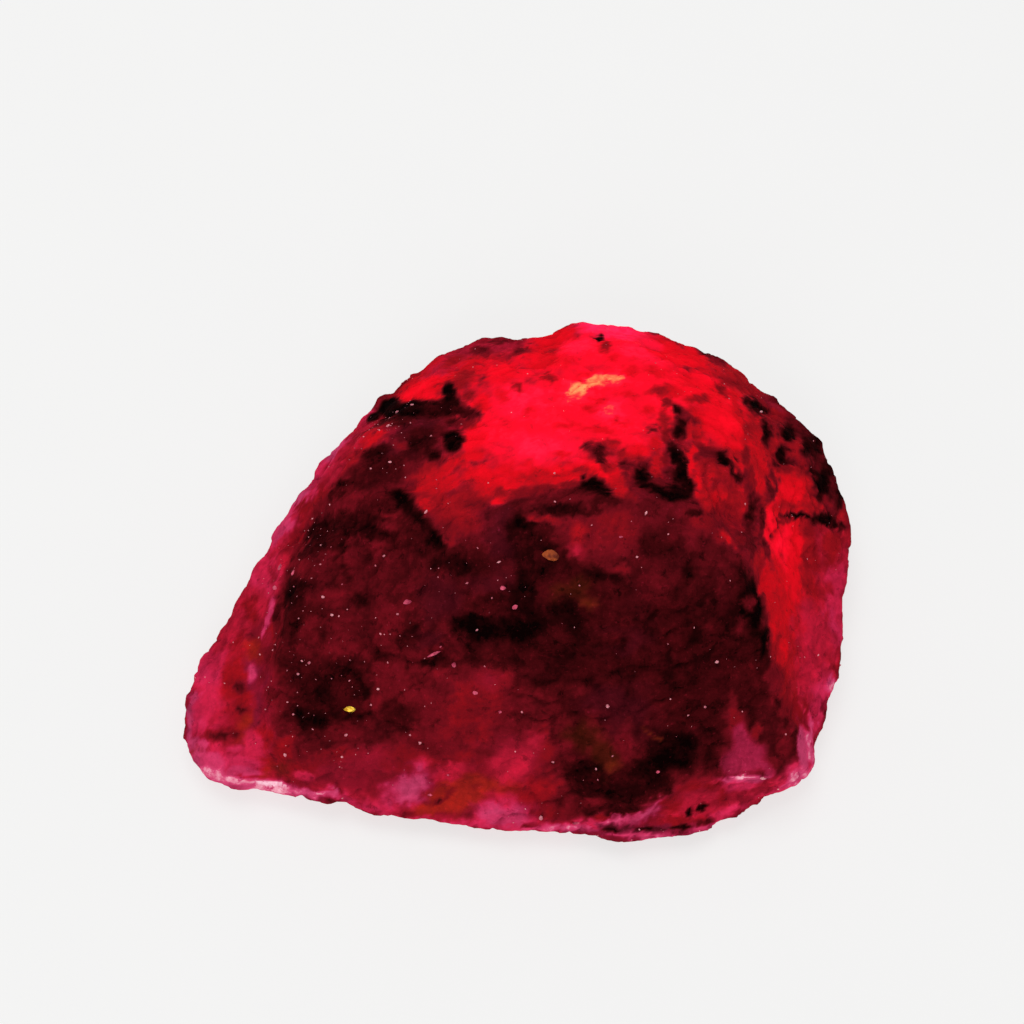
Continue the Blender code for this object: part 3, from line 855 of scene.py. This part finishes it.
def relief_tree():
    """Geometry nodes that raise chips and grains over a mesh, and store their height."""
    tree, given = open_tree("stone_relief", "GeometryNodeTree", {
        "Geometry": "Geometry", "Chip Width": "Length", "Chip Depth": "Length",
        "Grain Width": "Length", "Grain Depth": "Length", "Pit Depth": "Length",
        "Calm Height": "Length", "Material": "Material",
    }, {"Geometry": "Geometry"})
    place = put_node(tree, "GeometryNodeInputPosition").outputs[0]
    normal = put_node(tree, "GeometryNodeInputNormal").outputs[0]
    ragged = ragged_place(tree, place, scale=0.4 / MM, roughness=0.6, reach=1.6 * MM)

    def leaning_cells(width):
        """Flat-topped cells that each lean their own way, and how near the border is."""
        rounding = 0.25
        cell_inputs = {"Vector": ragged, "Scale": math_node(tree, "DIVIDE", 1.0, width)}
        cell = put_node(tree, "ShaderNodeTexVoronoi", cell_inputs)
        border = put_node(
            tree, "ShaderNodeTexVoronoi", cell_inputs, feature="DISTANCE_TO_EDGE",
        ).outputs["Distance"]
        # The cell's centre comes back in the same units as the place that went in.
        across = vector_node(tree, "SUBTRACT", ragged, cell.outputs["Position"])
        inward = scaled(tree, across, cell_inputs["Scale"])
        lean = vector_node(tree, "SUBTRACT", cell.outputs["Color"], (0.5, 0.5, 0.5))
        slope = vector_node(tree, "DOT_PRODUCT", inward, lean, output="Value")
        dome = math_node(tree, "MULTIPLY", rounding, cell.outputs["Distance"])
        return math_node(tree, "SUBTRACT", slope, dome), border

    def groove(border, width):
        """1 along a border and 0 from the given share of a cell on."""
        away = math_node(tree, "DIVIDE", border, width)
        return math_node(tree, "SUBTRACT", 1.0, away, clamp=True)

    chip_rise, chip_border = leaning_cells(given["Chip Width"])
    grain_rise, grain_border = leaning_cells(given["Grain Width"])
    crack = groove(chip_border, width=0.09)
    seam = groove(grain_border, width=0.16)
    # Cracks open only here and there, where broad noise rises past a level.
    opening_level = 0.46
    opening_speed = 9.0
    gate = noise_node(tree, place, scale=0.16 / MM, detail=1.0)
    above = math_node(tree, "SUBTRACT", gate, opening_level)
    opened = math_node(tree, "MULTIPLY", above, opening_speed, clamp=True)
    seam_share = 0.35  # a seam's depth as a share of the grain's
    height = math_node(tree, "MULTIPLY", chip_rise, given["Chip Depth"])
    height = math_node(tree, "MULTIPLY_ADD", grain_rise, given["Grain Depth"], height)
    open_crack = math_node(tree, "MULTIPLY", crack, opened)
    pit = math_node(tree, "MULTIPLY", open_crack, given["Pit Depth"])
    height = math_node(tree, "SUBTRACT", height, pit)
    seam_depth = math_node(tree, "MULTIPLY", given["Grain Depth"], seam_share)
    height = math_node(tree, "SUBTRACT", height, math_node(tree, "MULTIPLY", seam, seam_depth))

    level = put_node(tree, "ShaderNodeSeparateXYZ", {0: place}).outputs["Z"]
    calm = math_node(tree, "DIVIDE", level, given["Calm Height"], clamp=True)
    height = math_node(tree, "MULTIPLY", height, calm)
    relief = math_node(tree, "DIVIDE", height, given["Grain Depth"])
    stored = put_node(tree, "GeometryNodeStoreNamedAttribute", {
        "Geometry": given["Geometry"], "Name": "relief", "Value": relief,
    }, data_type="FLOAT", domain="POINT")
    raised = put_node(tree, "GeometryNodeSetPosition", {
        "Geometry": stored.outputs[0], "Offset": scaled(tree, normal, height),
    })
    close_tree(tree, raised.outputs[0], given["Material"])
    return tree


def skin_mesh(shape, material):
    """A fine, evenly spaced skin over the plain lump, with chips and grains raised in it."""
    work = bmesh.new()
    work.from_mesh(bpy.data.objects[NODE].data)
    bmesh.ops.remove_doubles(work, verts=work.verts, dist=0.001 * MM)
    plain = add_object("skin_base", mesh_from(work, "skin_base"))
    remesh = plain.modifiers.new("Grid", "REMESH")
    remesh.mode = "VOXEL"
    remesh.voxel_size = shape.skin_grid
    smooth = plain.modifiers.new("Wear", "SMOOTH")
    smooth.factor = 0.5
    smooth.iterations = 1
    even = add_object("skin_even", settled_mesh(plain, "skin_even"))
    return grown_mesh(even, "ruby_skin", relief_tree(), {
        "Chip Width": shape.chip_width, "Chip Depth": shape.chip_depth,
        "Grain Width": shape.grain_width, "Grain Depth": shape.grain_depth,
        "Pit Depth": shape.pit_depth, "Calm Height": shape.calm_height, "Material": material,
    })


# ---------------------------------------------------------------- painting


def edge_stir(places):
    """How far noise moves each place, so that what is painted there gets ragged edges.

    The first move bends broad borders, and the second frays them.
    """
    noise.seed_set(NOISE_SEED)
    bend_reach = 0.8 * MM
    fray_reach = 0.36 * MM
    # How many waves of each noise there are in a millimetre, and where each one starts.
    wide_waves = 0.3
    close_waves = 0.85
    fray_waves = 2.2
    close_start = Vector((7.0, 3.0, 5.0))
    fray_start = Vector((1.0, 9.0, 4.0))
    bends = []
    frays = []
    for place in places:
        spot = Vector(place) / MM
        wide = noise.noise_vector(spot * wide_waves)
        bends.append(wide + noise.noise_vector(spot * close_waves + close_start))
        frays.append(noise.noise_vector(spot * fray_waves + fray_start))
    return np.array(bends) * bend_reach, np.array(frays) * fray_reach


def cloud_noise(places, width, falloff, layers):
    """Smooth noise around 0 at many places, with clouds of about the given width."""
    return np.array([
        noise.fractal(Vector(place) / width, falloff, 2.0, layers) for place in places
    ])


class Brush:
    """Paints soft, ragged ovals on a skin, as the camera sees them."""

    def __init__(self, skin):
        self.skin = skin
        self.bend, self.fray = edge_stir(skin.places)
        self.speckle = cloud_noise(skin.places, 0.9 * MM, 0.8, 2)

    def mask(self, soft, ragged, across, down, half_length, half_width, turn=0.0):
        """1 inside an oval that reaches a little way into the stone, 0 outside it."""
        least_bending = 0.2
        fully_bent_width = 24.0
        least_reach = 3.0 * MM
        reach_per_pixel = 0.05 * MM
        speckle_share = 0.3
        skin = self.skin
        bending = min(1.0, max(least_bending, half_width / fully_bent_width)) * ragged
        places = skin.places + self.bend * bending + self.fray * ragged
        right, under, distance = in_frame(skin.stage, places)
        angle = math.radians(turn)
        along = (right - across) * math.cos(angle) - (under - down) * math.sin(angle)
        beside = (right - across) * math.sin(angle) + (under - down) * math.cos(angle)
        eye, _ = sight_line(skin.stage, across, down)
        middle = (skin.seen(across, down) - eye).length
        deep = (distance - middle) / max(least_reach, reach_per_pixel * (half_length + half_width))
        away = np.sqrt((along / half_length) ** 2 + (beside / half_width) ** 2 + deep**4)
        edge = 1.0 + soft - away + speckle_share * ragged * self.speckle
        share = np.clip(edge / (2.0 * soft), 0.0, 1.0)
        return share * share * (3.0 - 2.0 * share)


def painted(skin):
    """Brightness, milkiness and rust of each point of the skin, and how thick glints lie."""
    brush = Brush(skin)
    paint = np.tile(np.array(PLAIN_FINISH), (len(skin.places), 1))
    paint[:, 0] += CLOUD_SWING * cloud_noise(skin.places, 5.0 * MM, 0.7, 3)
    thin = np.clip(1.0 - skin.places[:, 2] / THIN_HEIGHT, 0.0, 1.0)
    paint += thin[:, None] * np.array(THIN_FOOT_PAINTED_GLOW)
    for marks, soft, ragged in PAINT_ROUNDS:
        for finish, ovals in marks:
            colour = np.array(FINISHES_AND_PAINTED_LIGHT[finish])
            for oval in ovals:
                mask = brush.mask(soft, ragged, *oval)[:, None]
                paint = paint * (1.0 - mask) + colour * mask
    glint = np.full(len(skin.places), STRAY_GLINTS)
    for oval in GLINT_SWARMS:
        glint = np.maximum(glint, brush.mask(SWARM_SOFTNESS, 1.0, *oval))
    glint[skin.places[:, 2] < GLINT_FREE_HEIGHT] = 0.0
    return {"brightness": paint[:, 0], "milk": paint[:, 1], "rust": paint[:, 2], "glint": glint}


# ---------------------------------------------------------------- materials


def grain_group():
    """Mottling, dark specks, pale dust that also stands for painted sparkle, and fine height of grains."""
    tree, given = open_tree("crystal_grain", "ShaderNodeTree", {"Grain Width": "Length"}, {
        "Tone": "Float", "Speck": "Float", "Dust And Sparkle": "Float", "Height": "Float",
    })
    place = put_node(tree, "ShaderNodeTexCoord").outputs["Object"]
    scale = math_node(tree, "DIVIDE", 1.0, given["Grain Width"])
    ragged = ragged_place(tree, place, scale, roughness=0.65, reach=1.1 * MM)

    def finer(times):
        """A scale with so many bumps to a grain."""
        return math_node(tree, "MULTIPLY", scale, times)

    cell = put_node(tree, "ShaderNodeTexVoronoi", {"Vector": ragged, "Scale": scale})
    shade = put_node(tree, "ShaderNodeSeparateColor", {0: cell.outputs["Color"]}).outputs[0]
    mottle = noise_node(tree, place, finer(0.45), detail=6.0, roughness=0.68)
    fine = noise_node(tree, place, finer(3.2), detail=4.0, roughness=0.6)
    tone = 0.0
    for layer, weight in ((shade, 0.5), (mottle, 3.0), (fine, 1.4)):
        tone = math_node(tree, "MULTIPLY_ADD", around_zero(tree, layer), weight, tone)
    # Dark specks where noise is lowest, and where it is highest pale dust of the smallest crystals,
    # which also stands for painted sparkle.
    lows = noise_node(tree, ragged, finer(1.1), detail=5.0, roughness=0.7)
    speck = between(tree, lows, low=0.42, high=0.32)
    peaks = noise_node(tree, place, finer(4.5), detail=1.0)
    dust_and_sparkle = between(tree, peaks, low=0.66, high=0.8)
    dome = math_node(tree, "MULTIPLY", cell.outputs["Distance"], -0.5)
    put_node(tree, "NodeGroupOutput", {
        "Tone": tone, "Speck": speck, "Dust And Sparkle": dust_and_sparkle,
        "Height": math_node(tree, "MULTIPLY_ADD", fine, 0.5, dome),
    })
    return tree


def ruby_material():
    """The stone's material: grains, dust and painted sparkle over the painted brightness, milk and
    rust, with painted shade in the pits and a painted glow where the brightness is high.
    """
    material, tree, shader = new_material("raw_ruby")
    grain = put_node(
        tree, "ShaderNodeGroup", {"Grain Width": 1.0 * MM}, node_tree=grain_group()
    ).outputs

    def attribute(name):
        return put_node(tree, "ShaderNodeAttribute", attribute_name=name).outputs["Fac"]

    def times_plus(value, factor, rest, clamp=False):
        return math_node(tree, "MULTIPLY_ADD", value, factor, rest, clamp=clamp)

    bright = attribute("brightness")
    # Mottling is weakest in the painted glow, and the dust and painted sparkle lie only in the dark parts.
    mottling = times_plus(bright, -0.06, 0.135)
    darkness = times_plus(bright, -1.3, 1.1, clamp=True)
    dust_and_sparkle = math_node(tree, "MULTIPLY", grain["Dust And Sparkle"], darkness)
    level = bright
    # The relief lifts the colour on raised grains and darkens it in pits and cracks: painted highlight and
    # painted shade.
    for mask, lift in (
        (grain["Tone"], mottling), (attribute("relief"), 0.05), (grain["Speck"], -0.12), (dust_and_sparkle, 0.14),
    ):
        level = times_plus(mask, lift, level)
    level = math_node(tree, "DIVIDE", level, BRIGHTEST, clamp=True)
    milk = times_plus(dust_and_sparkle, 0.2, attribute("milk"))

    # A little milk turns the stone rosy, and more of it makes it cloudy.
    rosiness = math_node(tree, "MULTIPLY", milk, 2.5, clamp=True)
    cloudiness = times_plus(milk, 2.0, -0.6, clamp=True)
    body = shown_ramp(tree, level, CLEAR_STOPS)
    for share, stops in (
        (rosiness, ROSY_STOPS), (cloudiness, CLOUDY_STOPS), (attribute("rust"), RUSTY_STOPS),
    ):
        body = mixed(tree, share, body, shown_ramp(tree, level, stops))
    # Painted glow: the brighter the paint, the more of its colour the stone gives off, standing in
    # for light that has come through the stone where it is thin.
    painted_glow_share = between(tree, level, low=0.42, high=0.8, top=0.5)
    bump = put_node(tree, "ShaderNodeBump", {
        "Height": grain["Height"], "Strength": 0.6, "Distance": 0.12 * MM,
    })
    fill(tree, shader, {
        "Base Color": body,
        "Emission Color": mixed(tree, painted_glow_share, (0.0, 0.0, 0.0, 1.0), body),
        "Emission Strength": 1.0,
        "Roughness": times_plus(grain["Tone"], -0.08, 0.8, clamp=True),
        "IOR": 1.1,
        "Specular IOR Level": 0.05,
        "Normal": bump.outputs[0],
    })
    return material


def crystal_material(name, dark, light, roughness, metallic=0.0, painted_glow=0.0):
    """A small grain's material: two colours as they show, mottled, with an uneven gloss.

    The last argument is a painted glow: the grain gives off its own colour at that strength,
    standing in for light that reaches it through the stone.
    """
    material, tree, shader = new_material(name)
    place = put_node(tree, "ShaderNodeTexCoord").outputs["Object"]
    mottle = noise_node(tree, place, scale=2.2 / MM, detail=4.0, roughness=0.6)
    colour = shown_ramp(tree, mottle, [(0.35, *dark), (0.65, *light)])
    gloss_swing = 0.3
    rough = math_node(
        tree, "MULTIPLY_ADD", mottle, gloss_swing, roughness - gloss_swing / 2, clamp=True
    )
    bump = put_node(tree, "ShaderNodeBump", {
        "Height": mottle, "Strength": 0.4, "Distance": 0.08 * MM,
    })
    fill(tree, shader, {
        "Base Color": colour, "Emission Color": colour, "Emission Strength": painted_glow,
        "Roughness": rough, "Metallic": metallic, "IOR": 1.3, "Normal": bump.outputs[0],
    })
    return material


# ---------------------------------------------------------------- small crystals


def set_crystal(work, skin, oval, rise, seed):
    """Adds one rough little crystal to a bmesh, sunk in the surface at a place.

    Its rise is a share of its length and width, as they are on average.
    """
    wobble_scale = 1.3
    wobble_depth = 0.35
    centre, long_axis, short_axis, normal = skin.patch_axes(*oval)
    long_axis = long_axis * CRYSTAL_SIZE
    short_axis = short_axis * CRYSTAL_SIZE
    height = (long_axis.length + short_axis.length) / 2 * rise
    short_axis = normal.cross(long_axis).normalized() * short_axis.length
    made = bmesh.ops.create_icosphere(work, subdivisions=2, radius=1.0)
    axes = Matrix((long_axis, short_axis, normal * height)).transposed().to_4x4()
    for vert in made["verts"]:
        wobble = noise.noise_vector(vert.co * wobble_scale + Vector((seed, 0.0, 0.0)))
        vert.co += wobble * wobble_depth
    bmesh.ops.transform(work, verts=made["verts"], matrix=Matrix.Translation(centre) @ axes)


def crystals_piece(name, skin, ovals, material, rise):
    noise.seed_set(NOISE_SEED)
    seed_step = 3.7
    work = bmesh.new()
    for number, oval in enumerate(ovals):
        set_crystal(work, skin, oval, rise, number * seed_step)
    bmesh.ops.recalc_face_normals(work, faces=work.faces)
    return add_piece(name, mesh_from(work, name), material)


def glint_tree():
    """Geometry nodes that scatter small flat crystals over a skin, as its glint attribute says."""
    tree, given = open_tree("glint_scatter", "GeometryNodeTree", {
        "Geometry": "Geometry", "Density": "Float", "Smallest": "Length",
        "Largest": "Length", "Seed": "Int", "Material": "Material",
    }, {"Geometry": "Geometry"})
    glint = put_node(
        tree, "GeometryNodeInputNamedAttribute", {"Name": "glint"}, data_type="FLOAT"
    ).outputs["Attribute"]
    spread = put_node(tree, "GeometryNodeDistributePointsOnFaces", {
        "Mesh": given["Geometry"], "Seed": given["Seed"],
        "Density": math_node(tree, "MULTIPLY", glint, given["Density"]),
    }, distribute_method="RANDOM")
    chip = put_node(tree, "GeometryNodeMeshIcoSphere", {"Radius": 1.0, "Subdivisions": 1})
    turn = put_node(tree, "FunctionNodeRandomValue", {
        "Min": (0.0, 0.0, 0.0), "Max": (6.3, 6.3, 6.3), "Seed": given["Seed"],
    }, data_type="FLOAT_VECTOR").outputs[0]
    # Most are small, and few are large.
    draw = put_node(tree, "FunctionNodeRandomValue", {"Seed": given["Seed"]}, data_type="FLOAT")
    rarity = math_node(tree, "POWER", draw.outputs[1], 3.0)
    span = math_node(tree, "SUBTRACT", given["Largest"], given["Smallest"])
    size = math_node(tree, "MULTIPLY_ADD", rarity, span, given["Smallest"])
    width = math_node(tree, "MULTIPLY", size, 0.75)
    thickness = math_node(tree, "MULTIPLY", size, 0.5)
    placed = put_node(tree, "GeometryNodeInstanceOnPoints", {
        "Points": spread.outputs["Points"], "Instance": chip.outputs["Mesh"], "Rotation": turn,
        "Scale": put_node(tree, "ShaderNodeCombineXYZ", {0: size, 1: width, 2: thickness}).outputs[0],
    })
    close_tree(tree, placed.outputs[0], given["Material"])
    return tree


# ---------------------------------------------------------------- operators


def made_stone():
    stone = bpy.data.objects.get(SKIN_PIECE)
    if stone is None:
        raise RuntimeError("make the stone first")
    return stone.data


class RUBY_OT_stage(bpy.types.Operator):
    """Put down the pale floor, the soft lights and the camera"""

    bl_idname = "ruby.stage"
    bl_label = "Stage"

    def execute(self, context):
        stage = context.scene.ruby_stage
        self.add_floor(tuple(stage.floor_color))
        self.add_room(context.scene)
        for name, lamp in LAMPS.items():
            self.add_lamp(name, *lamp)
        lens = bpy.data.cameras.new("camera")
        lens.lens = stage.lens
        lens.sensor_width = SENSOR_WIDTH
        lens.clip_start = 5 * MM
        camera = add_object("camera", lens)
        camera.location, _ = sight_line(stage, FRAME_MIDDLE, FRAME_MIDDLE)
        camera.rotation_euler = (math.pi / 2 - stage.elevation, 0.0, 0.0)
        context.scene.camera = camera
        return {"FINISHED"}

    def add_floor(self, pale):
        work = bmesh.new()
        bmesh.ops.create_grid(work, x_segments=1, y_segments=1, size=30 * LENGTH)
        floor = add_object("floor", mesh_from(work, "floor"))
        paper, tree, shader = new_material("pale_paper")
        place = put_node(tree, "ShaderNodeTexCoord").outputs["Object"]
        fibre = noise_node(tree, place, scale=0.05 / MM, detail=2.0)
        slightly_darker = [channel * 0.98 for channel in pale]
        fill(tree, shader, {
            "Base Color": colour_ramp(tree, fibre, [(0.3, *slightly_darker), (0.7, *pale)]),
            "Roughness": 0.9, "Specular IOR Level": 0.1,
            "Emission Color": (*pale, 1.0), "Emission Strength": FLOOR_GLOW,
        })
        floor.data.materials.append(paper)

    def add_room(self, scene):
        """Even light from all round. Past the floor's end the room has the floor's own tone."""
        world = bpy.data.worlds.new("soft_room")
        world.use_nodes = True
        room = world.node_tree
        light = room.nodes["Background"]
        light.inputs["Color"].default_value = ROOM_LIGHT
        light.inputs["Strength"].default_value = ROOM_STRENGTH
        wall = put_node(room, "ShaderNodeBackground", {"Color": WALL_TONE})
        seen = put_node(room, "ShaderNodeLightPath").outputs["Is Camera Ray"]
        blend = put_node(room, "ShaderNodeMixShader", {
            0: seen, 1: light.outputs[0], 2: wall.outputs[0],
        })
        room.links.new(blend.outputs[0], room.nodes["World Output"].inputs["Surface"])
        scene.world = world
        scene.view_settings.view_transform = "Standard"

    def add_lamp(self, name, toward, width, strength):
        lamp = bpy.data.lights.new(name, "AREA")
        lamp.size = width * LENGTH
        place = Vector(toward) * LENGTH
        # Power for the same light on the stone from any distance.
        lamp.energy = strength * math.pi**2 * place.length**2
        light = add_object(name, lamp)
        light.location = place
        light.rotation_euler = place.to_track_quat("Z", "Y").to_euler()


class RUBY_OT_stone(bpy.types.Operator):
    """Raise the broken, granular skin over the plain lump and colour it"""

    bl_idname = "ruby.stone"
    bl_label = "Stone"

    def execute(self, context):
        mesh = skin_mesh(context.scene.ruby_shape, ruby_material())
        for name, values in painted(Skin(mesh, context.scene.ruby_stage)).items():
            layer = mesh.attributes.new(name, "FLOAT", "POINT")
            layer.data.foreach_set("value", np.asarray(values, dtype=np.float32))
        mesh.shade_smooth()
        stone = add_piece(SKIN_PIECE, mesh)
        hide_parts(NODE)
        return {"FINISHED"}


class RUBY_OT_glints(bpy.types.Operator):
    """Scatter small glinting crystals over the stone"""

    bl_idname = "ruby.glints"
    bl_label = "Glints"

    def execute(self, context):
        scattered = add_object("glint_base", made_stone().copy())
        smallest, largest = GLINT_SIZES
        # The glints' material gives off a painted glow, so that they show bright as glints.
        mesh = grown_mesh(scattered, "crystal_glints", glint_tree(), {
            "Density": GLINTS_PER_AREA, "Smallest": smallest, "Largest": largest,
            "Seed": GLINT_SEED, "Material": crystal_material(
                "glint", (160, 54, 76), (232, 150, 160), 0.35, painted_glow=0.2
            ),
        })
        add_piece("crystal_glints", mesh)
        return {"FINISHED"}


class RUBY_OT_crystals(bpy.types.Operator):
    """Set the pale crystals, the gold fleck and the amber grain in the surface"""

    bl_idname = "ruby.crystals"
    bl_label = "Crystals"

    def execute(self, context):
        skin = Skin(made_stone(), context.scene.ruby_stage)
        # The pale and rosy crystals give off a painted glow, for light that reaches them through the stone.
        pale = crystal_material("pale_crystal", (170, 66, 88), (232, 160, 168), 0.4, painted_glow=0.1)
        rosy = crystal_material("rosy_crystal", (124, 20, 48), (214, 84, 112), 0.4, painted_glow=0.2)
        gold = crystal_material("gold_fleck", (200, 140, 14), (255, 220, 80), 0.35, metallic=0.4)
        amber = crystal_material("amber_grain", (104, 34, 14), (180, 82, 34), 0.75)
        crystals_piece("pale_crystals", skin, PALE_CRYSTALS, pale, rise=0.7)
        crystals_piece("rosy_crystals", skin, ROSY_CRYSTALS, rosy, rise=0.5)
        crystals_piece("gold_fleck", skin, [GOLD_FLECK], gold, rise=0.4)
        crystals_piece("amber_grain", skin, [AMBER_GRAIN], amber, rise=0.4)
        return {"FINISHED"}


class RUBY_PT_panel(bpy.types.Panel):
    """Sizes of the ruby's skin and stage, and the steps that make them"""

    bl_idname = "RUBY_PT_panel"
    bl_label = "Raw Ruby Crystal"
    bl_space_type = "VIEW_3D"
    bl_region_type = "UI"
    bl_category = "Ruby"

    def draw(self, context):
        for group in (context.scene.ruby_stage, context.scene.ruby_shape):
            column = self.layout.column()
            for name in group.__annotations__:
                column.prop(group, name)
        for step in STEPS:
            self.layout.operator(step.bl_idname)


STEPS = (RUBY_OT_stage, RUBY_OT_stone, RUBY_OT_glints, RUBY_OT_crystals)
CLASSES = (RubyShape, RubyStage, *STEPS, RUBY_PT_panel)


def register():
    for cls in CLASSES:
        bpy.utils.register_class(cls)
    bpy.types.Scene.ruby_shape = PointerProperty(type=RubyShape)
    bpy.types.Scene.ruby_stage = PointerProperty(type=RubyStage)


def unregister():
    del bpy.types.Scene.ruby_stage
    del bpy.types.Scene.ruby_shape
    for cls in reversed(CLASSES):
        bpy.utils.unregister_class(cls)


def plain(box):
    return [[float(value) for value in corner] for corner in box]


def main():
    register()
    bpy.ops.ruby.stage()
    bpy.ops.ruby.stone()
    bpy.ops.ruby.glints()
    bpy.ops.ruby.crystals()


if __name__ == "__main__":
    main()
